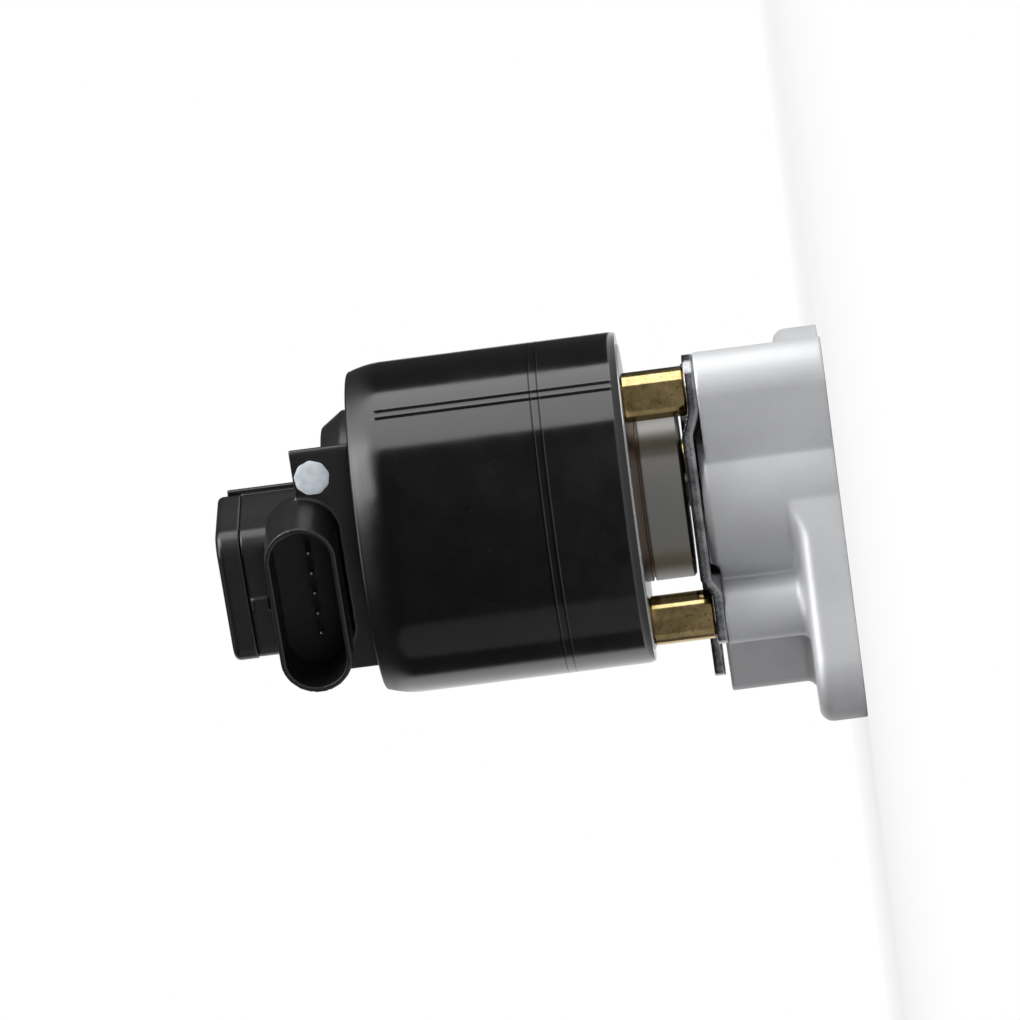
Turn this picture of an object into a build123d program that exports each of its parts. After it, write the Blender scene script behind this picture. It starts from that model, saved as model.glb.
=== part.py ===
from build123d import *
import math
import os

# Solenoid exhaust gas recirculation valve, in millimetres.
# The origin is on the valve axis, in the mounting face. +Z runs up the axis to the sensor.
# The connector faces -Y.

# Clearances
nest_gap = 0.05  # radial gap where one piece is pressed or slipped into another
running_gap = 0.06  # radial gap of everything that slides on the axis
seat_gap = 0.3  # gap between neighbours that only come close
lift = 4.5  # travel of the pintle, closed to fully open

# Flange and its ports
flange_thickness = 8.3
flange_turn = 155  # direction from the inlet port to the outlet port, degrees from +X
bolt_spacing = 67.0
bolt_line = 13.0  # from the inlet port to the line through both bolts
bolt_hole_radius = 4.4
lobe_radius = 10.0
port_spacing = 29.0
outlet_radius = 7.5
outlet_depth = 17.0
flange_core = 17.4  # circle about the valve axis that the flange's flanks run in to
flange_edge_round = 2.4

# Casting above the flange
boss_height = 22.8
drum_radius = 18.5
drum_rise = 1.3
drum_chamfer = 1.0
boss_radius = 6.5
low_boss_radius = 5.8
web_angles = (-55, 103)  # where the webs of the first two bosses run into the drum
web_root_pitch = 12.2
web_root_size = 5.0
housing_reach = 35.9
housing_half_width = 11.4
housing_corner = 5.7
housing_rise = 0.8
flange_margin = 1.8  # how far the flange stands out from the housing
cast_fillet = flange_margin - 0.2
chamber_radius = 9.0

# Three columns that hold the solenoid off the base
column_inset = 6.4  # from the outside of the solenoid shell in to the axis of each column
column_angles = (-17, 103, 223)
tube_radius = 4.45
tube_length = 11.2
bolt_radius = 2.4
bolt_head_radius = 4.0
bolt_head_height = 3.2
bolt_thread_depth = 4.6

# Stem guide, shield plate and valve
stem_radius = 3.0
guide_radius = 6.5
guide_length = 8.5
head_radius = 7.6
head_height = 3.0
stem_cone = 4.0
seat_radius = 11.0
seat_height = 5.0
seat_throat = 6.8
seat_width = 1.4
plate_thickness = 2.0
plate_hat_rise = 1.6
plate_pad_radii = (6.3, 6.3, 5.6)
plate_flat_radii = (6.5, 6.5, 7.3)  # flat under each tube
plate_bend_radius = 9.2  # where the bend from a boss reaches the raised middle
plate_stem_hole = 4.5
ear_place = (33.0, 12.0)  # along and across the line of ports
ear_radius = 4.0

# Lower magnetic circuit
pole_drum_radius = 15.5
pole_drum_height = 7.4  # up to its groove
pole_neck_radius = 11.0
pole_edge_round = 0.5
pole_groove_width = 0.4
pole_groove_depth = 0.6
flux_plate_rim = 0.3
flux_plate_inset = 5.0

# Solenoid
shell_radius = 30.0
shell_height = 48.7
shell_wall = 2.3
shell_taper_height = 7.2
shell_taper = 1.2
shell_crown_height = 1.5
shell_crown = 0.3
shell_roof = 3.4
flux_tube_wall = 2.2
bobbin_wall = 1.2
bobbin_flange = 1.8
sleeve_wall = 0.8
upper_plate_thickness = 4.0
lower_pole_reach = 8.7  # how far the lower pole stands into the coil
armature_length = 16.0
stem_above_armature = 3.5
return_wire = 1.0
spring_steps = 14  # straight lengths in a turn
spring_sides = 6  # sides of the wire's section
return_turns = 5
return_spring_radius = 7.2
spring_pocket_radius = 8.6
spring_roof = 1.4
clip_thickness = 1.0
clip_radius = 5.2
clip_groove = 0.6

# Sensor housing
collar_radius = 22.2
collar_height = 5.7
collar_band = 1.8
collar_shoulder = 2.7
neck_radius = 15.2
block_height = 10.6
block_front = 14.2
block_left = -20.4
block_right = 23.6
block_corner = 0.8
box_height = 11.3
box_width = 25.2
box_centre_x = -4.5
box_corner = 3.8
box_wall = 1.8
box_setback = 0.6
box_floor = 8.0  # above the top of the solenoid
rail_size = 2.0
rail_reach = 0.8  # how far the rail stands out from the side of the box
rail_depth = 1.0
rail_from_back = 2.1
rail_below_top = 1.9
latch_x = -5.3
latch_width = 2.4
latch_height = 3.0
latch_reach = 0.5
latch_below_top = 0.6
cap_height = 4.4
cap_overhang = 0.2
cap_lip = 1.5
cap_edge_round = 1.2
spigot_radius = 11.2
ring_wire = 1.5

# Position sensor
plunger_radius = 2.0
plunger_head_radius = 3.2
plunger_head_height = 2.5
plunger_wire = 0.6
plunger_turns = 6
plunger_spring_radius = 2.4
board_width = 14.0
board_thickness = 1.0
wiper_width = 5.0
wiper_reach = 1.2

# Connector
socket_width = 12.8
socket_length = 32.2
socket_depth = 12.8
socket_wall = 1.0
socket_centre_x = -1.5
socket_centre_up = 10.5  # above the top of the solenoid
pin_count = 5
pin_pitch = 3.96
pin_size = 1.0
pin_point = 1.2
pin_taper = 14
pin_recess = 7.0
pin_root = 6.0
pin_drop = 1.0  # from the middle of the socket down to the pins
socket_floor = 1.4

# Levels worked out from the sizes above
plate_top = boss_height + plate_thickness
hat_bottom = boss_height + plate_hat_rise
hat_top = hat_bottom + plate_thickness
flux_plate_bottom = plate_top + tube_length
shell_bottom = flux_plate_bottom + flux_plate_rim
shell_top = shell_bottom + shell_height
pole_drum_bottom = hat_top + 2 * seat_gap
pole_drum_top = pole_drum_bottom + pole_drum_height
flux_plate_top = shell_bottom + flux_plate_inset
roof_bottom = shell_top - shell_roof
upper_plate_bottom = roof_bottom - seat_gap - upper_plate_thickness
upper_plate_top = upper_plate_bottom + upper_plate_thickness
shell_bore = shell_radius - shell_wall
flux_tube_outer = shell_bore - nest_gap
flux_tube_inner = flux_tube_outer - flux_tube_wall
sleeve_inner = pole_neck_radius + nest_gap
sleeve_outer = sleeve_inner + sleeve_wall
bobbin_inner = sleeve_outer + nest_gap
bobbin_outer = flux_tube_inner - seat_gap
armature_radius = sleeve_inner - running_gap
lower_pole_top = flux_plate_top + lower_pole_reach
armature_bottom = lower_pole_top + seat_gap
armature_top = armature_bottom + armature_length
upper_pole_bottom = armature_top + lift + seat_gap
spring_ceiling = upper_plate_top - spring_roof
stem_top = armature_top + stem_above_armature
block_top = shell_top + block_height
box_top = block_top + box_height
cavity_floor = shell_top + box_floor
plunger_head_bottom = cavity_floor + seat_gap
plunger_head_top = plunger_head_bottom + plunger_head_height
box_front = block_front - box_setback
board_front = plunger_head_radius + nest_gap + wiper_reach + seat_gap
box_depth = box_front + board_front + board_thickness + nest_gap + box_wall
box_centre = (box_centre_x, box_depth / 2 - box_front)
rail_x = box_centre_x + (box_width - rail_size) / 2 + rail_reach
rail_y = box_centre[1] + box_depth / 2 - rail_from_back
rim = block_front + socket_depth
ring_bottom = roof_bottom + shell_roof / 2 - ring_wire / 2
socket_level = shell_top + socket_centre_up


def at_angle(radius, angle):
    """Point at a distance from the valve axis, in a direction in degrees from +X."""
    return radius * math.cos(math.radians(angle)), radius * math.sin(math.radians(angle))


def disc(radius, bottom, top, bore=0.0, centre=(0, 0)):
    """Upright cylinder or ring between two levels."""
    section = Circle(radius) - Circle(bore) if bore else Circle(radius)
    return Pos(*centre, bottom) * extrude(section, top - bottom)


def turned(*points):
    """Solid of revolution about the valve axis from (radius, level) corners."""
    return revolve(Plane.XZ * make_face(Polyline(*points, close=True)), Axis.Z)


def wrapped(*circles):
    """Outline stretched tight round circles given as (x, y, radius)."""
    return make_hull([edge for x, y, r in circles for edge in (Pos(x, y) * Circle(r)).edges()])


def in_base(x, y):
    """Point given along and across the line of ports, turned into the valve's own axes."""
    turn = math.radians(flange_turn)
    return x * math.cos(turn) - y * math.sin(turn), x * math.sin(turn) + y * math.cos(turn)


column_pitch = shell_radius - column_inset
column_places = [at_angle(column_pitch, angle) for angle in column_angles]
bolt_places = [in_base(bolt_line, side * bolt_spacing / 2) for side in (-1, 1)]
outlet_place = in_base(port_spacing, 0)
web_roots = [at_angle(web_root_pitch, angle) for angle in web_angles]
housing_corners = [in_base(housing_reach, side * housing_half_width) for side in (-1, 1)]


# --- Base casting: flange, valve drum, outlet housing and three column bosses, with the gas way cored out.
def base_casting():
    lobes = [(x, y, lobe_radius) for x, y in bolt_places]
    corners = [(x, y, housing_corner + flange_margin) for x, y in housing_corners]
    outline = wrapped((0, 0, flange_core), *lobes, *corners)
    ends = [(x, y, housing_corner) for x, y in housing_corners]
    housing = wrapped((0, 0, drum_radius - flange_margin), *ends)
    cast = extrude(outline, flange_thickness) + extrude(housing, boss_height)
    cast += disc(drum_radius, 0, boss_height)
    cast += disc(low_boss_radius, 0, boss_height, centre=column_places[-1])
    for place, root in zip(column_places, web_roots):
        cast += extrude(wrapped((*place, boss_radius), (*root, web_root_size)), boss_height)

    def from_rim(point):
        return min(edge.distance_to(Vector(point.X, point.Y, 0)) for edge in outline.edges())

    def on_flange_top(shape):
        flat = shape.edges().filter_by(Plane.XY)
        return flat.filter_by_position(Axis.Z, flange_thickness - nest_gap, flange_thickness + nest_gap)

    foot = on_flange_top(cast).filter_by(lambda edge: max(from_rim(edge @ 0), from_rim(edge @ 1)) > nest_gap)
    cast = fillet(foot, cast_fillet)
    rim = on_flange_top(cast).filter_by(lambda edge: from_rim(edge.center()) < nest_gap)
    cast = fillet(rim, flange_edge_round)

    top = boss_height + drum_rise
    crown = turned((0, 0), (drum_radius, 0), (drum_radius, top - drum_chamfer),
                   (drum_radius - drum_chamfer, top), (0, top))
    crown += extrude(housing, boss_height + housing_rise)
    for place in column_places:
        crown -= disc(plate_bend_radius + seat_gap, boss_height, top, centre=place)
    cast += crown

    cast -= disc(seat_radius + nest_gap, -1, seat_height + seat_gap)
    cast -= disc(chamber_radius, seat_height, top - guide_length)
    cast -= disc(guide_radius + nest_gap, top - guide_length - 1, top + 1)
    cast -= disc(outlet_radius, -1, outlet_depth, centre=outlet_place)
    way_height = top - guide_length - seat_height - seat_gap
    way = Pos(port_spacing / 2, 0, seat_height + seat_gap + way_height / 2)
    cast -= Rot(0, 0, flange_turn) * way * Box(port_spacing, 2 * outlet_radius * 0.8, way_height)
    for place in bolt_places:
        cast -= disc(bolt_hole_radius, -1, flange_thickness + 1, centre=place)
    for place in column_places:
        cast -= disc(bolt_radius + nest_gap, -1, boss_height + 1, centre=place)
        cast -= disc(bolt_head_radius + seat_gap, -1, bolt_head_height + seat_gap, centre=place)
    return cast


# --- Valve seat: hardened ring pressed into the mounting face, with a conical land.
def valve_seat():
    land = seat_throat + seat_width
    return turned((seat_throat, 0), (seat_radius, 0), (seat_radius, seat_height),
                  (land, seat_height), (seat_throat, seat_height - seat_width))


# --- Guide bushing: sintered sleeve pressed into the drum, in which the stem slides.
def guide_bushing():
    top = boss_height + drum_rise
    return disc(guide_radius, top - guide_length, top, bore=stem_radius + running_gap)


# --- Pintle: stem with a conical head that closes the seat, carried by the armature.
def pintle():
    head_top = seat_height - seat_width + head_height
    groove_bottom = armature_top
    groove_top = groove_bottom + clip_thickness
    groove = stem_radius - clip_groove
    throat = seat_throat - seat_gap
    return turned((0, seat_gap), (throat, seat_gap), (throat, seat_height - seat_width),
                  (head_radius, seat_height - seat_width + head_radius - throat), (head_radius, head_top),
                  (stem_radius, head_top + stem_cone), (stem_radius, groove_bottom), (groove, groove_bottom),
                  (groove, groove_top), (stem_radius, groove_top), (stem_radius, stem_top), (0, stem_top))


# --- Shield plate: stamped steel, flat on the bosses and raised over the drum, with an ear over the housing.
def shield_plate():
    lobes = [(*place, radius) for place, radius in zip(column_places, plate_pad_radii)]
    ear = in_base(*ear_place)
    outline = wrapped(*lobes) + wrapped((*ear, ear_radius), (0, 0, ear_radius))
    flat = extrude(outline, hat_top)
    plate = flat - disc(column_pitch * 3, 0, hat_bottom)
    for place, flat_radius in zip(column_places, plate_flat_radii):
        plate -= disc(plate_bend_radius, 0, hat_top, centre=place)
        dimple = turned((0, boss_height), (flat_radius, boss_height), (plate_bend_radius, hat_bottom),
                        (plate_bend_radius, hat_top), (flat_radius, plate_top), (0, plate_top))
        plate += (Pos(*place) * dimple) & flat
    plate -= disc(plate_stem_hole, 0, hat_top)
    for place in column_places:
        plate -= disc(bolt_radius + nest_gap, 0, hat_top, centre=place)
    return plate


# --- Columns: a spacer tube and a through bolt at each boss, screwed into the flux plate.
def standoff_tube(place):
    return disc(tube_radius, plate_top, flux_plate_bottom, bore=bolt_radius + nest_gap, centre=place)


def assembly_bolts():
    head_bottom = seat_gap
    shoulder = head_bottom + bolt_head_height
    tip = flux_plate_bottom + bolt_thread_depth
    return Compound(children=[
        disc(bolt_radius, shoulder, tip, centre=place)
        + disc(bolt_head_radius, head_bottom, shoulder, centre=place)
        for place in column_places
    ])


# --- Lower magnetic circuit: turned pole piece, whose neck passes through the flux plate into the coil.
def lower_pole_piece():
    groove = pole_drum_radius - pole_groove_depth
    groove_top = pole_drum_top + pole_groove_width
    pole = turned((0, pole_drum_bottom), (pole_drum_radius - pole_edge_round, pole_drum_bottom),
                  (pole_drum_radius, pole_drum_bottom + pole_edge_round), (pole_drum_radius, pole_drum_top),
                  (groove, pole_drum_top), (groove, groove_top), (pole_drum_radius, groove_top),
                  (pole_drum_radius, flux_plate_bottom), (pole_neck_radius, flux_plate_bottom),
                  (pole_neck_radius, lower_pole_top), (0, lower_pole_top))
    return pole - disc(stem_radius + seat_gap, 0, shell_top)


def lower_flux_plate():
    plate = disc(flux_tube_outer, flux_plate_bottom, flux_plate_top, bore=pole_neck_radius + nest_gap)
    for place in column_places:
        thread_end = flux_plate_bottom + bolt_thread_depth + seat_gap
        plate -= disc(bolt_radius + nest_gap, 0, thread_end, centre=place)
    return plate


# --- Solenoid: moulded shell over a steel flux tube, the coil on its bobbin, and the upper pole.
def solenoid_shell():
    taper_bottom = shell_top - shell_taper_height
    crown_top = shell_bottom + shell_crown_height
    return turned((shell_bore, shell_bottom), (shell_radius - shell_crown, shell_bottom),
                  (shell_radius, crown_top), (shell_radius, taper_bottom),
                  (shell_radius - shell_taper, shell_top),
                  (spigot_radius + nest_gap, shell_top), (spigot_radius + nest_gap, roof_bottom),
                  (shell_bore, roof_bottom))


def flux_tube():
    return disc(flux_tube_outer, flux_plate_top, upper_plate_bottom, bore=flux_tube_inner)


def coil_bobbin():
    bottom = flux_plate_top + nest_gap
    top = upper_plate_bottom - nest_gap
    hub = bobbin_inner + bobbin_wall
    return turned((bobbin_inner, bottom), (bobbin_outer, bottom), (bobbin_outer, bottom + bobbin_flange),
                  (hub, bottom + bobbin_flange), (hub, top - bobbin_flange),
                  (bobbin_outer, top - bobbin_flange),
                  (bobbin_outer, top), (bobbin_inner, top))


def coil_winding():
    bottom = flux_plate_top + 2 * nest_gap + bobbin_flange
    top = upper_plate_bottom - 2 * nest_gap - bobbin_flange
    return disc(bobbin_outer - seat_gap, bottom, top, bore=bobbin_inner + bobbin_wall + nest_gap)


def armature_sleeve():
    return disc(sleeve_outer, flux_plate_top + nest_gap, upper_plate_bottom - nest_gap, bore=sleeve_inner)


def upper_pole_piece():
    return turned((spring_pocket_radius, upper_pole_bottom), (pole_neck_radius, upper_pole_bottom),
                  (pole_neck_radius, upper_plate_bottom), (flux_tube_outer, upper_plate_bottom),
                  (flux_tube_outer, upper_plate_top), (plunger_radius + seat_gap, upper_plate_top),
                  (plunger_radius + seat_gap, spring_ceiling), (spring_pocket_radius, spring_ceiling))


# --- Armature, its clip on the stem and the spring that closes the valve.
def armature():
    body = disc(armature_radius, armature_bottom, armature_top, bore=stem_radius + nest_gap)
    return chamfer(body.edges().filter_by(GeomType.CIRCLE).filter_by(
        lambda e: e.radius > stem_radius + 2 * nest_gap), pole_edge_round)


def armature_clip():
    ring = disc(clip_radius, armature_top, armature_top + clip_thickness - nest_gap,
                bore=stem_radius - clip_groove + nest_gap)
    mouth = Pos(clip_radius, 0, armature_top) * Box(2 * clip_radius, stem_radius, 3 * clip_thickness)
    return ring - mouth


def coil_spring(radius, wire, turns, bottom, top):
    """Wire wound between two levels, in short straight lengths."""
    rise = top - bottom - 2 * wire
    steps = turns * spring_steps
    points = [Vector(*at_angle(radius, 360 * turns * i / steps), bottom + wire + rise * i / steps)
              for i in range(steps + 1)]
    path = Polyline(*points)
    section = Plane(origin=points[0], z_dir=points[1] - points[0]) * RegularPolygon(wire / 2, spring_sides)
    return sweep(section, path, transition=Transition.RIGHT)


# --- Sensor housing: collar, connector block, open-topped box and socket, moulded in one.
def sensor_housing():
    collar = turned((0, shell_top), (collar_radius, shell_top), (collar_radius, shell_top + collar_band),
                    (collar_radius - collar_shoulder, shell_top + collar_height),
                    (0, shell_top + collar_height))
    wide = 4 * collar_radius
    collar -= Pos(0, -block_front - wide / 2, shell_top) * Box(wide, wide, wide)
    nose_y = block_corner - block_front
    outline = wrapped((0, 0, neck_radius), (block_right - block_corner, nose_y, block_corner),
                      (block_left + block_corner, nose_y, block_corner))
    body = collar + Pos(0, 0, shell_top) * extrude(outline, block_height)
    walls = RectangleRounded(box_width, box_depth, box_corner)
    box = Pos(*box_centre, block_top) * extrude(walls, box_height)
    body += box
    rail_height = box_height + cap_height - rail_below_top
    body += Pos(rail_x, rail_y, block_top + rail_height / 2) * Box(rail_size, rail_depth, rail_height)
    latch_top = box_top - latch_below_top
    latch = Box(latch_width, 2 * latch_reach, latch_height)
    body += Pos(latch_x, -box_front, latch_top - latch_height / 2) * latch
    body += disc(spigot_radius, roof_bottom + nest_gap, shell_top)
    body += socket_shape(socket_width, socket_length, block_front - socket_wall, rim)

    inner = RectangleRounded(box_width - 2 * box_wall, box_depth - 2 * box_wall, box_corner - box_wall / 2)
    body -= Pos(*box_centre, cavity_floor) * extrude(inner, shell_height)
    body -= disc(plunger_radius + running_gap, 0, box_top)
    body -= socket_shape(socket_width - 2 * socket_wall, socket_length - 2 * socket_wall,
                         block_front + socket_floor, rim + socket_wall)
    ring_groove = disc(spigot_radius + nest_gap, ring_bottom - nest_gap, ring_bottom + ring_wire + nest_gap,
                       bore=spigot_radius - ring_wire)
    return body - ring_groove - pin_row(pin_size + 2 * nest_gap)


def socket_shape(width, length, near, far):
    """Bar of stadium section that lies along -Y, between two distances from the valve axis."""
    section = Pos(socket_centre_x, socket_level) * SlotOverall(length, width)
    return extrude(Plane.XZ.offset(near) * section, far - near)


def pin_row(size):
    """Square connector pins in a row, from inside the block out into the socket, with tapered points."""
    near = block_front - pin_root
    shank = rim - pin_recess - pin_point
    row = []
    for index in range(pin_count):
        across = socket_centre_x + (index - (pin_count - 1) / 2) * pin_pitch
        section = Pos(across, socket_level - pin_drop) * Rectangle(size, size)
        row.append(extrude(Plane.XZ.offset(near) * section, shank - near)
                   + extrude(Plane.XZ.offset(shank) * section, pin_point, taper=pin_taper))
    return Compound(children=row)


def sensor_cap():
    width = box_width + 2 * cap_overhang
    depth = box_depth + 2 * cap_overhang
    face = RectangleRounded(width, depth, box_corner + cap_overhang)
    lid = Pos(*box_centre, box_top) * extrude(face, cap_height)
    lid = fillet(lid.faces().sort_by(Axis.Z)[-1].edges(), cap_edge_round)
    notch = Box(rail_size + 2 * seat_gap, rail_depth + 2 * seat_gap, 4 * cap_height)
    lid -= Pos(rail_x, rail_y, box_top) * notch
    inner_width = box_width - 2 * box_wall - 2 * nest_gap
    inner_depth = box_depth - 2 * box_wall - 2 * nest_gap
    lip = RectangleRounded(inner_width, inner_depth, box_corner - box_wall / 2)
    return lid + Pos(*box_centre, box_top - cap_lip) * extrude(lip, cap_lip)


def sensor_o_ring():
    inner = spigot_radius - ring_wire + nest_gap
    return disc(spigot_radius, ring_bottom, ring_bottom + ring_wire, bore=inner)


# --- Position sensor: plunger on the stem, its spring, the wiper and the resistive board.
def sensor_plunger():
    return disc(plunger_radius, stem_top + nest_gap, plunger_head_top) + disc(
        plunger_head_radius, plunger_head_bottom, plunger_head_top)


def wiper():
    near = plunger_head_radius + nest_gap
    height = plunger_head_height
    place = Pos(0, near + wiper_reach / 2, plunger_head_bottom + height / 2)
    return place * Box(wiper_width, wiper_reach, height)


def sensor_board():
    bottom = cavity_floor
    top = box_top - cap_lip - seat_gap
    return Pos(box_centre_x, board_front + board_thickness / 2, (bottom + top) / 2) * Box(
        board_width, board_thickness, top - bottom)


parts = {
    "base_casting": base_casting(),
    "valve_seat": valve_seat(),
    "guide_bushing": guide_bushing(),
    "pintle": pintle(),
    "shield_plate": shield_plate(),
    "assembly_bolts": assembly_bolts(),
    "lower_pole_piece": lower_pole_piece(),
    "lower_flux_plate": lower_flux_plate(),
    "solenoid_shell": solenoid_shell(),
    "flux_tube": flux_tube(),
    "coil_bobbin": coil_bobbin(),
    "coil_winding": coil_winding(),
    "armature_sleeve": armature_sleeve(),
    "upper_pole_piece": upper_pole_piece(),
    "armature": armature(),
    "armature_clip": armature_clip(),
    "return_spring": coil_spring(
        return_spring_radius, return_wire, return_turns, armature_top, spring_ceiling),
    "sensor_housing": sensor_housing(),
    "sensor_cap": sensor_cap(),
    "sensor_o_ring": sensor_o_ring(),
    "connector_pins": pin_row(pin_size),
    "sensor_plunger": sensor_plunger(),
    "plunger_spring": coil_spring(plunger_spring_radius, plunger_wire, plunger_turns, plunger_head_top,
                                  box_top - cap_lip),
    "wiper": wiper(),
    "sensor_board": sensor_board(),
}
for number, place in enumerate(column_places, start=1):
    parts[f"standoff_tube_{number}"] = standoff_tube(place)

os.makedirs("parts", exist_ok=True)
for name, shape in parts.items():
    export_step(shape, f"parts/{name}.step")
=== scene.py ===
import math

import bpy
from mathutils import Matrix, Vector


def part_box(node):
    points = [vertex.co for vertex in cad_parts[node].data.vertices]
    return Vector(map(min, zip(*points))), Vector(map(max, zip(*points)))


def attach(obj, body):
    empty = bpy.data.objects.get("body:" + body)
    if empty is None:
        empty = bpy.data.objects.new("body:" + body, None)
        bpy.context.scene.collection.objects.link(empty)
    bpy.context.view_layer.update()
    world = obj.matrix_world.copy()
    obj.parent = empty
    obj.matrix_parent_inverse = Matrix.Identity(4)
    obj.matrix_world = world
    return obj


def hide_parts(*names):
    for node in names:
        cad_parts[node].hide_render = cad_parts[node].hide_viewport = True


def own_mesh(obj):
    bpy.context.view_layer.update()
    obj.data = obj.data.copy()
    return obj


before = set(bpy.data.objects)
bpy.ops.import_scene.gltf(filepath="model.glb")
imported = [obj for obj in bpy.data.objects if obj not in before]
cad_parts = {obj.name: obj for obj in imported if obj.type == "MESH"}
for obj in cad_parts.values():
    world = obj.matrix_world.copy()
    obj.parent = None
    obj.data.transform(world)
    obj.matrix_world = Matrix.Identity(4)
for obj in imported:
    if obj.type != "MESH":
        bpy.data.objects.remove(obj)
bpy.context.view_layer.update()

# --- Base casting.
# A die-cast aluminium body with the mounting flange, the gas way and three column bosses.
# It comes from the mould with soft edges, and is left unpainted.
MM = 0.001


def linear(hex_colour):
    """Linear RGBA of an sRGB hex colour."""
    channels = [int(hex_colour[i:i + 2], 16) / 255 for i in (1, 3, 5)]
    return [c / 12.92 if c <= 0.04045 else ((c + 0.055) / 1.055) ** 2.4 for c in channels] + [1.0]


def feed(node, inputs):
    """Gives each input of a node its value, or links the output that drives it."""
    for name, value in inputs.items():
        if isinstance(value, bpy.types.NodeSocket):
            node.id_data.links.new(value, node.inputs[name])
        else:
            node.inputs[name].default_value = value


def add_node(tree, kind, inputs, stops=(), **settings):
    """Adds a shader node with its settings, its inputs and, on a ramp, its (position, colour) stops."""
    node = tree.nodes.new(kind)
    for name, value in settings.items():
        setattr(node, name, value)
    for number, (position, colour) in enumerate(stops):
        elements = node.color_ramp.elements
        element = elements[number] if number < 2 else elements.new(position)
        element.position, element.color = position, linear(colour)
    feed(node, inputs)
    return node


def start_finish(name):
    """A new material: it, its node tree, its shader and the piece's own coordinates."""
    material = bpy.data.materials.new(name)
    material.use_nodes = True
    tree = material.node_tree
    place = add_node(tree, "ShaderNodeTexCoord", {}).outputs["Object"]
    return material, tree, tree.nodes["Principled BSDF"], place


def smooth_faces(mesh):
    """Shades every face of a mesh smooth."""
    mesh.polygons.foreach_set("use_smooth", [True] * len(mesh.polygons))


def soft_copy(node_name, name, voxel, rounds):
    """A CAD piece with its edges rounded, as a mould or a press leaves them; the voxel is in mm."""
    piece = bpy.data.objects.new(name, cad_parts[node_name].data.copy())
    bpy.context.scene.collection.objects.link(piece)
    remesh = piece.modifiers.new("skin", "REMESH")
    remesh.mode = "VOXEL"
    remesh.voxel_size = voxel * MM
    soften = piece.modifiers.new("soften", "SMOOTH")
    soften.factor = 0.5
    soften.iterations = rounds
    evaluated = piece.evaluated_get(bpy.context.evaluated_depsgraph_get())
    mesh = bpy.data.meshes.new_from_object(evaluated)
    piece.modifiers.clear()
    piece.data = mesh
    smooth_faces(mesh)
    return piece


def dress(piece, material, slot, *replaced):
    """Gives a fixed piece its finish and names the CAD nodes that it stands for; slot is not used."""
    piece.data.materials.clear()
    piece.data.materials.append(material)
    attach(piece, "valve_body")
    if replaced:
        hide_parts(*replaced)


# Die-cast aluminium, shot-blasted: a pale grey metal whose fine pits scatter the light, so it
# shines softly. Flow marks cloud it, and handling leaves a few dark specks.
blasted_aluminium, tree, shader, place = start_finish("blasted_die_cast_aluminium")
clouds = add_node(tree, "ShaderNodeTexNoise", {"Vector": place, "Scale": 1 / (14 * MM), "Detail": 4.0})
tone = add_node(tree, "ShaderNodeValToRGB", {"Fac": clouds.outputs["Fac"]}, stops=[
    (0.3, "#D0D1D3"), (0.7, "#DEDFE1"), (0.5, "#D7D8DA")])
specks = add_node(tree, "ShaderNodeTexNoise", {
    "Vector": place, "Scale": 1 / (4 * MM), "Detail": 6.0, "Roughness": 0.62})
dirt = add_node(tree, "ShaderNodeValToRGB", {"Fac": specks.outputs["Fac"]}, stops=[
    (0.25, "#63635F"), (0.30, "#FFFFFF")])
soiled = add_node(tree, "ShaderNodeMix", {0: 1.0, 6: tone.outputs[0], 7: dirt.outputs[0]},
                  data_type="RGBA", blend_type="MULTIPLY")
pits = add_node(tree, "ShaderNodeTexNoise", {"Vector": place, "Scale": 1 / (0.45 * MM), "Detail": 3.0})
relief = add_node(tree, "ShaderNodeBump", {"Height": pits.outputs["Fac"], "Distance": 0.02 * MM})
feed(shader, {"Base Color": soiled.outputs[2], "Metallic": 0.45, "Roughness": 0.48,
              "Normal": relief.outputs[0]})
casting = soft_copy("base_casting", "base_casting_skin", 0.32, 2)
dress(casting, blasted_aluminium, "cast_aluminium", "base_casting")

# --- Valve seat, pintle and guide bushing.
# The seat is a hardened ring pressed into the mounting face; the pintle closes it from inside.
# The bushing that guides the stem is pressed in from above, and needs no oil.


def refinish(material, *node_names):
    """Gives CAD pieces that are shown as they are their real finish."""
    for node_name in node_names:
        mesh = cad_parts[node_name].data
        mesh.materials.clear()
        mesh.materials.append(material)


# Hardened steel, ground: even and bright, with the straw and brown stains of hot exhaust.
ground_steel, tree, shader, place = start_finish("ground_hardened_steel")
stains = add_node(tree, "ShaderNodeTexNoise", {"Vector": place, "Scale": 1 / (4 * MM), "Detail": 5.0})
tone = add_node(tree, "ShaderNodeValToRGB", {"Fac": stains.outputs["Fac"]}, stops=[
    (0.3, "#6A625A"), (0.7, "#8C8A88")])
scratches = add_node(tree, "ShaderNodeTexNoise", {"Vector": place, "Scale": 1 / (0.3 * MM), "Detail": 2.0})
relief = add_node(tree, "ShaderNodeBump", {"Height": scratches.outputs["Fac"], "Distance": 0.01 * MM})
feed(shader, {"Base Color": tone.outputs[0], "Metallic": 1.0, "Roughness": 0.32,
              "Normal": relief.outputs[0]})
refinish(ground_steel, "valve_seat", "pintle")

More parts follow.
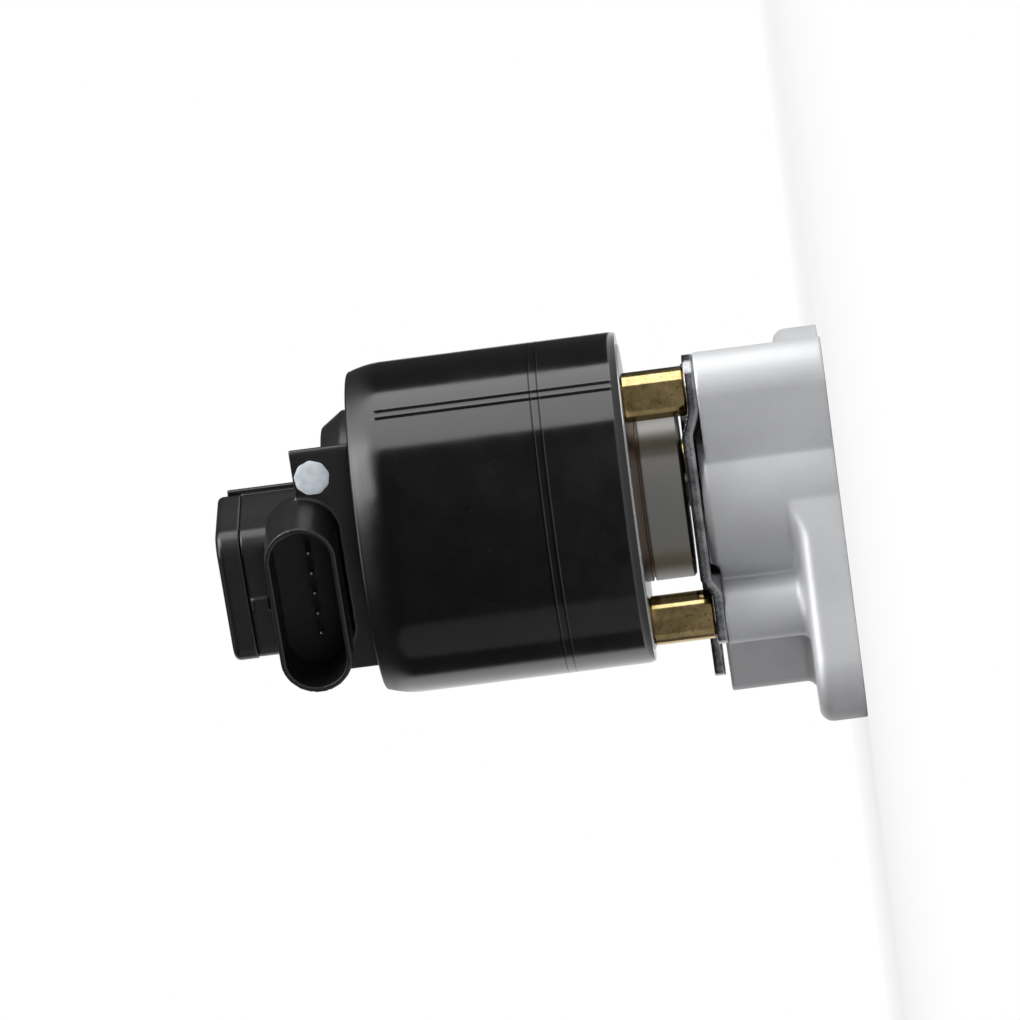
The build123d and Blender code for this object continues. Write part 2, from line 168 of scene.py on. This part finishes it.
# Bronze, pressed from powder and sintered: brown-gold, with open pores that dull it.
sintered_bronze, tree, shader, place = start_finish("sintered_bronze")
pores = add_node(tree, "ShaderNodeTexNoise", {"Vector": place, "Scale": 1 / (0.25 * MM), "Detail": 4.0})
tone = add_node(tree, "ShaderNodeValToRGB", {"Fac": pores.outputs["Fac"]}, stops=[
    (0.35, "#6B5430"), (0.5, "#9A7B4B")])
relief = add_node(tree, "ShaderNodeBump", {"Height": pores.outputs["Fac"], "Distance": 0.03 * MM})
feed(shader, {"Base Color": tone.outputs[0], "Metallic": 1.0, "Roughness": 0.55,
              "Normal": relief.outputs[0]})
refinish(sintered_bronze, "guide_bushing")

# --- Shield plate.
# A plate stamped from 2 mm steel sheet, gripped between the columns and the casting. It keeps
# the heat of the gas from the coil, and holds the bushing down.

# Steel sheet, rolled: dark grey with a dull shine, and bright where the punch sheared its edge.
rolled_steel, tree, shader, place = start_finish("rolled_steel_sheet")
scale = add_node(tree, "ShaderNodeTexNoise", {"Vector": place, "Scale": 1 / (3 * MM), "Detail": 5.0})
tone = add_node(tree, "ShaderNodeValToRGB", {"Fac": scale.outputs["Fac"]}, stops=[
    (0.35, "#6A6B6E"), (0.65, "#A0A1A4")])
drag = add_node(tree, "ShaderNodeMapping", {"Vector": place, "Scale": (1, 1, 0.25)})
shear = add_node(tree, "ShaderNodeTexNoise", {
    "Vector": drag.outputs[0], "Scale": 1 / (0.5 * MM), "Detail": 3.0})
relief = add_node(tree, "ShaderNodeBump", {"Height": shear.outputs["Fac"], "Distance": 0.03 * MM})
feed(shader, {"Base Color": tone.outputs[0], "Metallic": 1.0, "Roughness": 0.17,
              "Normal": relief.outputs[0]})
plate = soft_copy("shield_plate", "shield_plate_stamped", 0.22, 3)
dress(plate, rolled_steel, "stamped_steel", "shield_plate")

# --- Columns.
# Three steel tubes, cut to length and faced, stand between the plate and the coil. A bolt from
# the mounting face runs through each of them.


def piece_of(name, points, faces):
    """A new piece from its points, in metres, and its faces."""
    mesh = bpy.data.meshes.new(name)
    mesh.from_pydata(points, [], faces)
    piece = bpy.data.objects.new(name, mesh)
    bpy.context.scene.collection.objects.link(piece)
    return piece


def turned(name, profile, steps, centre=(0, 0), extra=()):
    """A closed outline of (radius, height) corners in mm, swept round a line parallel to Z."""
    corners = [(r * MM, z * MM) for r, z in profile]
    angles = sorted([2 * math.pi * step / steps for step in range(steps)] + list(extra))
    points, faces = [], []
    for angle in angles:
        points += [(centre[0] + r * math.cos(angle), centre[1] + r * math.sin(angle), z)
                   for r, z in corners]
    count = len(corners)
    for step in range(len(angles)):
        this, following = step * count, (step + 1) % len(angles) * count
        for i in range(count):
            j = (i + 1) % count
            faces.append((this + i, following + i, following + j, this + j))
    return piece_of(name, points, faces)


def crease(piece, angle):
    """Shades a piece smooth, with a hard line where it turns by more than an angle in degrees."""
    smooth_faces(piece.data)
    piece.data.set_sharp_from_angle(angle=math.radians(angle))


# Steel, zinc-plated and yellow-chromated: a thin film, gold to olive, over a bright plating.
chromated_steel, tree, shader, place = start_finish("yellow_chromated_steel")
film = add_node(tree, "ShaderNodeTexNoise", {
    "Vector": place, "Scale": 1 / (2.2 * MM), "Detail": 5.0, "Roughness": 0.6})
tone = add_node(tree, "ShaderNodeValToRGB", {"Fac": film.outputs["Fac"]}, stops=[
    (0.3, "#B09A6C"), (0.7, "#CCB585"), (0.5, "#BEA777")])
flecks = add_node(tree, "ShaderNodeTexNoise", {"Vector": place, "Scale": 1 / (0.45 * MM), "Detail": 3.0})
olive = add_node(tree, "ShaderNodeValToRGB", {"Fac": flecks.outputs["Fac"]}, stops=[
    (0.30, "#A8A48E"), (0.38, "#FFFFFF")])
flecked = add_node(tree, "ShaderNodeMix", {0: 1.0, 6: tone.outputs[0], 7: olive.outputs[0]},
                   data_type="RGBA", blend_type="MULTIPLY")
shine = add_node(tree, "ShaderNodeMapRange", {"Value": film.outputs["Fac"], "To Min": 0.1, "To Max": 0.16})
relief = add_node(tree, "ShaderNodeBump", {"Height": flecks.outputs["Fac"], "Distance": 0.0015 * MM})
feed(shader, {"Base Color": flecked.outputs[2], "Metallic": 1.0, "Roughness": shine.outputs[0],
              "Normal": relief.outputs[0]})
tube_bore, tube_edge = 2.5, 0.35
for number in (1, 2, 3):
    low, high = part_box(f"standoff_tube_{number}")
    wall, bottom, top = (high.x - low.x) / 2 / MM, low.z / MM, high.z / MM
    tube = turned(f"spacer_tube_{number}", [
        (tube_bore, bottom), (wall - tube_edge, bottom), (wall, bottom + tube_edge),
        (wall, top - tube_edge), (wall - tube_edge, top), (tube_bore, top)], 72, (low + high) / 2)
    crease(tube, 32)
    dress(tube, chromated_steel, "zinc_steel", f"standoff_tube_{number}")

# Bolt steel, zinc-plated: pale, slightly blue, with an even soft shine.
plated_steel, tree, shader, place = start_finish("zinc_plated_steel")
spangle = add_node(tree, "ShaderNodeTexNoise", {"Vector": place, "Scale": 1 / (0.6 * MM), "Detail": 3.0})
shine = add_node(tree, "ShaderNodeMapRange", {
    "Value": spangle.outputs["Fac"], "To Min": 0.24, "To Max": 0.4})
feed(shader, {"Base Color": linear("#A9ABAE"), "Metallic": 1.0, "Roughness": shine.outputs[0]})
refinish(plated_steel, "assembly_bolts")

# --- Lower pole piece.
# A drum of soft iron, turned on a lathe, that carries the magnetic field up into the coil.
# A groove runs round it just below its seating under the flux plate.
low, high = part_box("lower_pole_piece")
drum, foot, tip = high.x / MM, low.z / MM, high.z / MM
groove, groove_wide, groove_deep, lip = foot + 7.4, 0.4, 0.6, 0.1
neck, stem_bore, foot_edge = 11.0, 3.3, 0.5
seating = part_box("lower_flux_plate")[0].z / MM
pole = turned("lower_pole_turned", [
    (stem_bore, foot), (drum - foot_edge, foot), (drum, foot + foot_edge), (drum, groove - lip),
    (drum - lip, groove), (drum - groove_deep, groove), (drum - groove_deep, groove + groove_wide),
    (drum - lip, groove + groove_wide), (drum, groove + groove_wide + lip), (drum, seating),
    (neck, seating), (neck, tip), (stem_bore, tip)], 160)
crease(pole, 32)

# Soft iron, turned: fine tool rings stretch each highlight along the axis. Both ends of the
# drum are painted brown: a painted reflection of the brass tubes that stand beside it.
turned_iron, tree, shader, place = start_finish("turned_soft_iron")
height = add_node(tree, "ShaderNodeSeparateXYZ", {"Vector": place}).outputs["Z"]
level = add_node(tree, "ShaderNodeMapRange", {
    "Value": height, "From Min": foot * MM, "From Max": groove * MM})
# Painted reflection: brown at both ends of the drum, grey between them.
painted_tube_reflection = add_node(tree, "ShaderNodeValToRGB", {"Fac": level.outputs[0]}, stops=[
    (0.0, "#5E544C"), (0.06, "#93928F"), (0.94, "#93928F"), (1.0, "#5E544C")])
round_axis = add_node(tree, "ShaderNodeTangent", {}, direction_type="RADIAL", axis="Z")
feed(shader, {"Base Color": painted_tube_reflection.outputs[0], "Metallic": 1.0, "Roughness": 0.34,
              "Anisotropic": 0.8, "Tangent": round_axis.outputs[0]})
dress(pole, turned_iron, "turned_steel", "lower_pole_piece")

# --- Lower flux plate.
# A steel disc under the coil that the three bolts screw into. It closes the shell from below,
# and only its underside and a thin rim show.
low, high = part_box("lower_flux_plate")
rim, under, over, rim_edge = high.x / MM, low.z / MM, high.z / MM, 0.15
disc_bore = neck + 0.05
disc = turned("flux_plate_turned", [
    (disc_bore, under), (rim - rim_edge, under), (rim, under + rim_edge), (rim, over),
    (disc_bore, over)], 192)
crease(disc, 32)

# Steel, turned and tumbled: bright, with a slightly uneven shine.
tumbled_steel, tree, shader, place = start_finish("turned_tumbled_steel")
wear = add_node(tree, "ShaderNodeTexNoise", {"Vector": place, "Scale": 1 / (1.5 * MM), "Detail": 4.0})
shine = add_node(tree, "ShaderNodeMapRange", {"Value": wear.outputs["Fac"], "To Min": 0.16, "To Max": 0.32})
feed(shader, {"Base Color": linear("#B4B4B5"), "Metallic": 1.0, "Roughness": shine.outputs[0]})
dress(disc, tumbled_steel, "turned_steel", "lower_flux_plate")

# --- Solenoid shell.
# Glass-filled nylon, moulded over the coil. Two fine ribs run round it where the mould plates
# meet, and two more run up it. Its lower rim crowns in, and its top tapers.
low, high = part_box("solenoid_shell")
skirt, girth, roof = low.z / MM, high.x / MM, high.z / MM
shell_bore, roof_under, roof_bore = 27.7, roof - 3.4, 11.3
rib_level, rib_gap, rib_height, rib_half = skirt + 15.0, 1.44, 0.02, 0.25
line_angle, line_spread, line_height, line_half = math.radians(-23.2), math.radians(1.5), 0.16, 0.4
crown, crown_draw, taper, taper_draw, roof_edge = 1.5, 0.3, 6.4, 1.3, 0.6
fine_step, wide_step = 0.2, 4.0


def shell_wall(level):
    """Outer radius of the shell at a level, in mm."""
    radius = girth - rib_height
    if level < skirt + crown:
        radius -= crown_draw * ((skirt + crown - level) / crown) ** 2
    if level > roof - taper:
        radius -= taper_draw * ((level - roof + taper) / taper) ** 1.8
    for side in (-0.5, 0.5):
        radius += rib_height * max(0, 1 - abs(level - rib_level - side * rib_gap) / rib_half)
    return radius


levels = [skirt + fine_step * i for i in range(13)] + [skirt + wide_step * i for i in range(1, 11)]
levels += [rib_level + side * rib_gap / 2 + reach * rib_half
           for side in (-1, 1) for reach in (-1.8, -1, 0, 1, 1.8)]
levels += [roof - taper + 2 * fine_step * i for i in range(17)]
levels = sorted(level for level in levels if level < roof - roof_edge)
outline = [(shell_wall(level), level) for level in levels]
edge_wall = shell_wall(roof - roof_edge)
for i in range(7):
    turn = math.pi / 2 * i / 6
    outline.append((edge_wall - roof_edge * (1 - math.cos(turn)),
                    roof - roof_edge * (1 - math.sin(turn))))
crests = [line_angle - line_spread, line_angle + line_spread]
line_end = roof - taper + 1.5
shell = turned("solenoid_shell_moulded", [(shell_bore, skirt)] + outline + [
    (roof_bore, roof), (roof_bore, roof_under), (shell_bore, roof_under)], 360, extra=[
    (crest + reach * line_half / girth) % (2 * math.pi) for crest in crests for reach in (-1, 0, 1)])
for vertex in shell.data.vertices:
    x, y, z = vertex.co / MM
    if math.hypot(x, y) < shell_bore + 1 or not skirt + 1 < z < line_end:
        continue
    for crest in crests:
        grown = 1 + line_height / girth * max(0, 1 - abs(math.atan2(y, x) - crest) * girth / line_half)
        vertex.co.x, vertex.co.y = x * grown * MM, y * grown * MM
        x, y = x * grown, y * grown
crease(shell, 30)

# Nylon from a polished mould: deep black, mirror-like, with a slow ripple where the wall
# shrank, patches of haze and a little dust. It is matt round the top, where the mould vents,
# and dull along the two ring ribs, where the mould plates left no polish.
gloss_nylon, tree, shader, place = start_finish("gloss_moulded_nylon")
grains = add_node(tree, "ShaderNodeTexNoise", {"Vector": place, "Scale": 1 / (0.5 * MM), "Detail": 2.0})
dust = add_node(tree, "ShaderNodeValToRGB", {"Fac": grains.outputs["Fac"]}, stops=[
    (0.70, "#0B0B0C"), (0.76, "#2B2B2A")])
haze = add_node(tree, "ShaderNodeTexNoise", {
    "Vector": place, "Scale": 1 / (9 * MM), "Detail": 5.0, "Roughness": 0.6})
shine = add_node(tree, "ShaderNodeMapRange", {"Value": haze.outputs["Fac"], "To Min": 0.06, "To Max": 0.2})
height = add_node(tree, "ShaderNodeSeparateXYZ", {"Vector": place}).outputs["Z"]
matt_from, matt_to = roof - 6.0, roof - 2.0
matt = add_node(tree, "ShaderNodeMapRange", {
    "Value": height, "From Min": matt_from * MM, "From Max": matt_to * MM, "To Max": 0.25})
off_middle = add_node(tree, "ShaderNodeMath", {0: height, 1: rib_level * MM}, operation="SUBTRACT")
off_middle = add_node(tree, "ShaderNodeMath", {0: off_middle.outputs[0]}, operation="ABSOLUTE")
off_rib = add_node(tree, "ShaderNodeMath", {0: off_middle.outputs[0], 1: rib_gap / 2 * MM},
                   operation="SUBTRACT")
off_rib = add_node(tree, "ShaderNodeMath", {0: off_rib.outputs[0]}, operation="ABSOLUTE")
sheen = add_node(tree, "ShaderNodeMapRange", {
    "Value": off_rib.outputs[0], "From Max": rib_half * MM, "To Min": 0.05, "To Max": 0.5})
gloss = add_node(tree, "ShaderNodeMath", {0: shine.outputs[0], 1: matt.outputs[0]}, operation="ADD")
ripple = add_node(tree, "ShaderNodeTexNoise", {"Vector": place, "Scale": 1 / (6 * MM), "Detail": 1.0})
relief = add_node(tree, "ShaderNodeBump", {"Height": ripple.outputs["Fac"], "Distance": 0.02 * MM})
feed(shader, {"Base Color": dust.outputs[0], "Roughness": gloss.outputs[0], "IOR": 1.6,
              "Specular IOR Level": sheen.outputs[0], "Normal": relief.outputs[0]})
dress(shell, gloss_nylon, "black_moulding", "solenoid_shell")

# --- Coil, magnetic circuit and armature.
# All of it is shut inside the shell: the winding on its bobbin, the flux tube, the sleeve, the
# upper pole, and the armature with its clip and its spring.

# Nylon, moulded and left natural: cream, slightly waxy.
cream_nylon, tree, shader, place = start_finish("natural_moulded_nylon")
bloom = add_node(tree, "ShaderNodeTexNoise", {"Vector": place, "Scale": 1 / (2 * MM), "Detail": 3.0})
tone = add_node(tree, "ShaderNodeValToRGB", {"Fac": bloom.outputs["Fac"]}, stops=[
    (0.3, "#C8BF9C"), (0.7, "#D8D0B2")])
feed(shader, {"Base Color": tone.outputs[0], "Roughness": 0.45})
refinish(cream_nylon, "coil_bobbin", "sensor_plunger")

# Copper wire under clear enamel: red-brown and glossy, in level turns 1 mm apart.
enamelled_copper, tree, shader, place = start_finish("enamelled_copper_wire")
turns = add_node(tree, "ShaderNodeTexWave", {
    "Vector": place, "Scale": 0.314 / (1.0 * MM)}, bands_direction="Z")
relief = add_node(tree, "ShaderNodeBump", {"Height": turns.outputs["Fac"], "Distance": 0.25 * MM})
feed(shader, {"Base Color": linear("#9C4A22"), "Metallic": 1.0, "Roughness": 0.3,
              "Normal": relief.outputs[0]})
refinish(enamelled_copper, "coil_winding")
refinish(turned_iron, "flux_tube", "upper_pole_piece", "armature")

# Brass, drawn: warm yellow, with faint lines along the draw.
drawn_brass, tree, shader, place = start_finish("drawn_brass")
drag = add_node(tree, "ShaderNodeMapping", {"Vector": place, "Scale": (1, 1, 0.1)})
lines = add_node(tree, "ShaderNodeTexNoise", {
    "Vector": drag.outputs[0], "Scale": 1 / (0.3 * MM), "Detail": 3.0})
shine = add_node(tree, "ShaderNodeMapRange", {
    "Value": lines.outputs["Fac"], "To Min": 0.18, "To Max": 0.34})
feed(shader, {"Base Color": linear("#C9A55A"), "Metallic": 1.0, "Roughness": shine.outputs[0]})
refinish(drawn_brass, "armature_sleeve", "wiper")

# Spring steel, drawn: grey and smooth, with a slightly oily shine.
spring_wire, tree, shader, place = start_finish("drawn_spring_wire")
oil = add_node(tree, "ShaderNodeTexNoise", {"Vector": place, "Scale": 1 / (1.2 * MM), "Detail": 2.0})
shine = add_node(tree, "ShaderNodeMapRange", {"Value": oil.outputs["Fac"], "To Min": 0.16, "To Max": 0.36})
feed(shader, {"Base Color": linear("#9A9B9D"), "Metallic": 1.0, "Roughness": shine.outputs[0]})
refinish(spring_wire, "armature_clip", "return_spring", "plunger_spring")

# Each spring stands on a fixed seat; here it only gets a mesh of its own, and nothing shortens it as the
# valve opens.
for spring, joint in (("return_spring", "pintle_lift"), ("plunger_spring", "sensor_follow")):
    foot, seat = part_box(spring)
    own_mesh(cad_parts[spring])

# --- Sensor housing and cap.
# One moulding holds the collar, the connector block, the socket and the sensor box, and it
# snaps onto the shell. The cap is welded on once the sensor has been set.

# Polyester from a spark-eroded mould: black, with a fine even grain that makes it satin.
satin_polyester, tree, shader, place = start_finish("satin_moulded_polyester")
rub = add_node(tree, "ShaderNodeTexNoise", {"Vector": place, "Scale": 1 / (6 * MM), "Detail": 4.0})
shine = add_node(tree, "ShaderNodeMapRange", {"Value": rub.outputs["Fac"], "To Min": 0.28, "To Max": 0.4})
grain = add_node(tree, "ShaderNodeTexNoise", {"Vector": place, "Scale": 1 / (0.35 * MM), "Detail": 3.0})
relief = add_node(tree, "ShaderNodeBump", {"Height": grain.outputs["Fac"], "Distance": 0.02 * MM})
feed(shader, {"Base Color": linear("#151516"), "Roughness": shine.outputs[0], "IOR": 1.55,
              "Normal": relief.outputs[0]})
housing = soft_copy("sensor_housing", "sensor_housing_moulded", 0.25, 3)
dress(housing, satin_polyester, "sensor_plastic", "sensor_housing")
cap = soft_copy("sensor_cap", "sensor_cap_moulded", 0.2, 3)
dress(cap, satin_polyester, "sensor_plastic", "sensor_cap")

# Painted shade: a thin near-black sheet lies on the floor of the socket, with the pins standing up through
# it, to darken the socket's inside.
shade_sheet_wide, shade_sheet_long, shade_sheet_deep, shade_sheet_face = 10.8, 30.2, 0.9, -16.5
shade_sheet_x, shade_sheet_z = -1.5, roof + 10.5
shade_sheet_steps, edge_points = 64, []
for step in range(shade_sheet_steps):
    angle = 2 * math.pi * step / shade_sheet_steps
    end = math.copysign((shade_sheet_long - shade_sheet_wide) / 2, math.cos(angle))
    edge_points.append((shade_sheet_x + end + shade_sheet_wide / 2 * math.cos(angle),
                        shade_sheet_z + shade_sheet_wide / 2 * math.sin(angle)))
points = [(x * MM, y * MM, z * MM) for y in (shade_sheet_face, shade_sheet_face + shade_sheet_deep) for x, z in edge_points]
faces = [tuple(range(shade_sheet_steps)), tuple(reversed(range(shade_sheet_steps, 2 * shade_sheet_steps)))]
for step in range(shade_sheet_steps):
    after = (step + 1) % shade_sheet_steps
    faces.append((step, shade_sheet_steps + step, shade_sheet_steps + after, after))
socket_shade_sheet = piece_of("socket_painted_shade", points, faces)

# Painted shade for the socket: near black, with a mottled roughness.
socket_shade_black, tree, shader, place = start_finish("painted_socket_shade")
bloom = add_node(tree, "ShaderNodeTexNoise", {"Vector": place, "Scale": 1 / (1.2 * MM), "Detail": 3.0})
shine = add_node(tree, "ShaderNodeMapRange", {"Value": bloom.outputs["Fac"], "To Min": 0.5, "To Max": 0.7})
feed(shader, {"Base Color": linear("#060606"), "Roughness": shine.outputs[0]})
dress(socket_shade_sheet, socket_shade_black, "sensor_plastic")

# Nitrile rubber, moulded: dull black.
nitrile, tree, shader, place = start_finish("moulded_nitrile_rubber")
talc = add_node(tree, "ShaderNodeTexNoise", {"Vector": place, "Scale": 1 / (0.8 * MM), "Detail": 3.0})
shine = add_node(tree, "ShaderNodeMapRange", {"Value": talc.outputs["Fac"], "To Min": 0.5, "To Max": 0.75})
feed(shader, {"Base Color": linear("#101010"), "Roughness": shine.outputs[0]})
refinish(nitrile, "sensor_o_ring")

# Glass and epoxy laminate under green lacquer, with the weave just showing.
lacquered_laminate, tree, shader, place = start_finish("lacquered_glass_laminate")
weave = add_node(tree, "ShaderNodeTexWave", {
    "Vector": place, "Scale": 0.314 / (0.5 * MM)}, bands_direction="X")
tone = add_node(tree, "ShaderNodeValToRGB", {"Fac": weave.outputs["Fac"]}, stops=[
    (0.0, "#1B5230"), (1.0, "#23633C")])
feed(shader, {"Base Color": tone.outputs[0], "Roughness": 0.35})
refinish(lacquered_laminate, "sensor_board")

# --- Connector pins.
# Five lengths of square brass wire, pressed through the floor of the socket, each with a
# pointed tip.

# Brass, tin-plated: white and bright, with soft grey wear.
tinned_brass, tree, shader, place = start_finish("tin_plated_brass")
wear = add_node(tree, "ShaderNodeTexNoise", {"Vector": place, "Scale": 1 / (0.5 * MM), "Detail": 3.0})
tone = add_node(tree, "ShaderNodeValToRGB", {"Fac": wear.outputs["Fac"]}, stops=[
    (0.3, "#B4B2AC"), (0.6, "#D8D7D2")])
feed(shader, {"Base Color": tone.outputs[0], "Metallic": 1.0, "Roughness": 0.22})
refinish(tinned_brass, "connector_pins")

# --- Paint dot.
# A touch of white paint, put on the flat of the connector block by hand after the final test.
# It dries slightly domed, with an uneven edge.
dot_radius, dot_height, dot_face, dot_lean, dot_x = 3.15, 0.14, -14.45, 0.0436, 18.35
dot_z = roof + 7.15
dot_rings, dot_steps = 10, 96
points, faces = [(dot_x * MM, (dot_face - dot_height) * MM, dot_z * MM)], []
for ring in range(1, dot_rings + 1):
    share = ring / dot_rings
    for step in range(dot_steps):
        angle = 2 * math.pi * step / dot_steps
        reach = dot_radius * share * (1 + 0.02 * math.cos(9 * angle) + 0.025 * math.cos(2 * angle + 0.6))
        across, raised = reach * math.cos(angle), dot_height * (1 - share ** 6)
        points.append(((dot_x + across) * MM, (dot_face + dot_lean * across - raised) * MM,
                       (dot_z + reach * math.sin(angle)) * MM))
for step in range(dot_steps):
    after = (step + 1) % dot_steps
    faces.append((0, 1 + after, 1 + step))
    for ring in range(dot_rings - 1):
        a, b = 1 + ring * dot_steps, 1 + (ring + 1) * dot_steps
        faces.append((a + after, b + after, b + step, a + step))
dot = piece_of("paint_dot", points, faces)
smooth_faces(dot.data)

# Marking paint, dabbed on: bluish white, uneven in tone; the black showing through its thinner middle is
# not drawn.
marking_paint, tree, shader, place = start_finish("dabbed_marking_paint")
dabs = add_node(tree, "ShaderNodeTexNoise", {"Vector": place, "Scale": 1 / (1.5 * MM), "Detail": 4.0})
tone = add_node(tree, "ShaderNodeValToRGB", {"Fac": dabs.outputs["Fac"]}, stops=[
    (0.35, "#DDE8F4"), (0.62, "#F2F8FC")])
relief = add_node(tree, "ShaderNodeBump", {"Height": dabs.outputs["Fac"], "Distance": 0.06 * MM})
feed(shader, {"Base Color": tone.outputs[0], "Roughness": 0.4, "Normal": relief.outputs[0]})
dress(dot, marking_paint, "sensor_plastic")

# --- Floor, lights and camera.
# The valve stands on its mounting face on a white floor. A tall softbox hangs beside it and two
# more hang high in front, and the camera looks at it nearly level, turned on its side.
camera_turn = math.radians(25)
to_camera = Vector((math.sin(camera_turn), -math.cos(camera_turn), 0))
to_softbox = Vector((math.cos(camera_turn), math.sin(camera_turn), 0))


def bearing(degrees):
    """A level direction, turned from the camera's side towards the tall softbox's side."""
    return to_camera * math.cos(math.radians(degrees)) + to_softbox * math.sin(math.radians(degrees))


bpy.context.scene.view_settings.view_transform = "Standard"

bpy.ops.mesh.primitive_plane_add(size=8.0, location=(0, 0, 0))
floor = bpy.context.object
floor.name = "floor"

# Painted board, rolled: matt white. It shows white to the camera and in mirrors, with the
# valve's shadow close round it.
matt_board, tree, shader, place = start_finish("rolled_white_board")
shadow_near, shadow_far = 0.1, 0.5
path = add_node(tree, "ShaderNodeLightPath", {})
away = add_node(tree, "ShaderNodeVectorMath", {0: place}, operation="LENGTH")
plain = add_node(tree, "ShaderNodeMapRange", {
    "Value": away.outputs["Value"], "From Min": shadow_near, "From Max": shadow_far,
    "To Min": 0.8, "To Max": 1.0})
seen = add_node(tree, "ShaderNodeMath", {
    0: path.outputs["Is Camera Ray"], 1: plain.outputs[0]}, operation="MULTIPLY")
bounced = add_node(tree, "ShaderNodeMath", {
    0: path.outputs["Is Glossy Ray"], 1: path.outputs["Is Transmission Ray"]}, operation="MAXIMUM")
mirrored = add_node(tree, "ShaderNodeMapRange", {
    "Value": away.outputs["Value"], "From Min": shadow_near, "From Max": shadow_far,
    "To Min": 0.1, "To Max": 1.0})
share = add_node(tree, "ShaderNodeMath", {
    0: bounced.outputs[0], 1: mirrored.outputs[0], 2: seen.outputs[0]}, operation="MULTIPLY_ADD")
glow = add_node(tree, "ShaderNodeEmission", {"Strength": 1.0})
roller = add_node(tree, "ShaderNodeTexNoise", {"Vector": place, "Scale": 1 / (2 * MM), "Detail": 2.0})
relief = add_node(tree, "ShaderNodeBump", {"Height": roller.outputs["Fac"], "Distance": 0.05 * MM})
feed(shader, {"Base Color": linear("#B8B8B8"), "Roughness": 0.9, "Normal": relief.outputs[0]})
board = add_node(tree, "ShaderNodeMixShader", {
    0: share.outputs[0], 1: shader.outputs[0], 2: glow.outputs[0]})
feed(tree.nodes["Material Output"], {"Surface": board.outputs[0]})
floor.data.materials.append(matt_board)

# The studio: white behind the valve. In what its polished pieces mirror it is dark to the sides,
# with a faint grey card opposite the tall softbox.
world = bpy.data.worlds.new("studio")
bpy.context.scene.world = world
world.use_nodes = True
tree = world.node_tree
direction = add_node(tree, "ShaderNodeTexCoord", {})
facing = add_node(tree, "ShaderNodeVectorMath", {0: direction.outputs["Generated"], 1: bearing(-160)},
                  operation="DOT_PRODUCT")
sweep = add_node(tree, "ShaderNodeMapRange", {
    "Value": facing.outputs["Value"], "From Min": math.cos(math.radians(34)),
    "From Max": math.cos(math.radians(29)), "To Min": 0.05, "To Max": 1.0})
opposite = add_node(tree, "ShaderNodeVectorMath", {
    0: direction.outputs["Generated"], 1: bearing(-88)}, operation="DOT_PRODUCT")
card = add_node(tree, "ShaderNodeMapRange", {
    "Value": opposite.outputs["Value"], "From Min": math.cos(math.radians(18)),
    "From Max": math.cos(math.radians(14)), "To Min": 0.0, "To Max": 0.2})
around = add_node(tree, "ShaderNodeMath", {0: sweep.outputs[0], 1: card.outputs[0]}, operation="ADD")
path = add_node(tree, "ShaderNodeLightPath", {})
mirrored = add_node(tree, "ShaderNodeMath", {
    0: path.outputs["Is Glossy Ray"], 1: path.outputs["Is Transmission Ray"]}, operation="MAXIMUM")
lit = add_node(tree, "ShaderNodeMix", {"Factor": mirrored.outputs[0], "A": 0.08, "B": around.outputs[0]})
level = add_node(tree, "ShaderNodeMix", {
    "Factor": path.outputs["Is Camera Ray"], "A": lit.outputs[0], "B": 1.0})
feed(tree.nodes["Background"], {"Color": linear("#FFFFFF"), "Strength": level.outputs[0]})


def softbox(name, place, target, width, length, radiance):
    """A rectangular lamp that faces a target, with its long side upright."""
    lamp = bpy.data.lights.new(name, "AREA")
    lamp.shape = "RECTANGLE"
    lamp.size, lamp.size_y = width, length
    lamp.energy = radiance * width * length * math.pi
    back = (place - target).normalized()
    side = Vector((0, 0, 1)).cross(back).normalized()
    box = bpy.data.objects.new(name, lamp)
    box.matrix_world = Matrix.Translation(place) @ Matrix(
        (side, back.cross(side), back)).transposed().to_4x4()
    bpy.context.scene.collection.objects.link(box)


top_aim, tall_height, high_height, top_height = 0.1, 0.46, 0.55, 0.7
middle = Vector((0, 0, 0.06))
softbox("tall_softbox", bearing(80) * 0.55 + Vector((0, 0, tall_height)),
        Vector((0, 0, tall_height)), 0.52, 0.9, 2.6)
softbox("high_softbox", bearing(45) * 0.5 + Vector((0, 0, high_height)), middle, 0.5, 0.5, 6.0)
softbox("top_softbox", bearing(-20) * 0.25 + Vector((0, 0, top_height)),
        Vector((0, 0, top_aim)), 0.4, 0.4, 2.7)

distance, elevation, roll = 1.07, math.radians(-2.6), math.radians(7.3)
back = to_camera * math.cos(elevation) + Vector((0, 0, math.sin(elevation)))
axis_seen = (Vector((0, 0, 1)) - back * back.z).normalized()
right = -axis_seen * math.cos(roll) - to_softbox * math.sin(roll)
up = -axis_seen * math.sin(roll) + to_softbox * math.cos(roll)
target = Vector((0, 0, 0.059)) + to_softbox * 0.00046
lens = bpy.data.cameras.new("camera")
lens.sensor_width, lens.lens = 36.0, 209.8
lens.clip_start, lens.clip_end = 0.05, 50.0
camera = bpy.data.objects.new("camera", lens)
camera.matrix_world = Matrix.Translation(target + back * distance) @ Matrix(
    (right, up, back)).transposed().to_4x4()
bpy.context.scene.collection.objects.link(camera)
bpy.context.scene.camera = camera
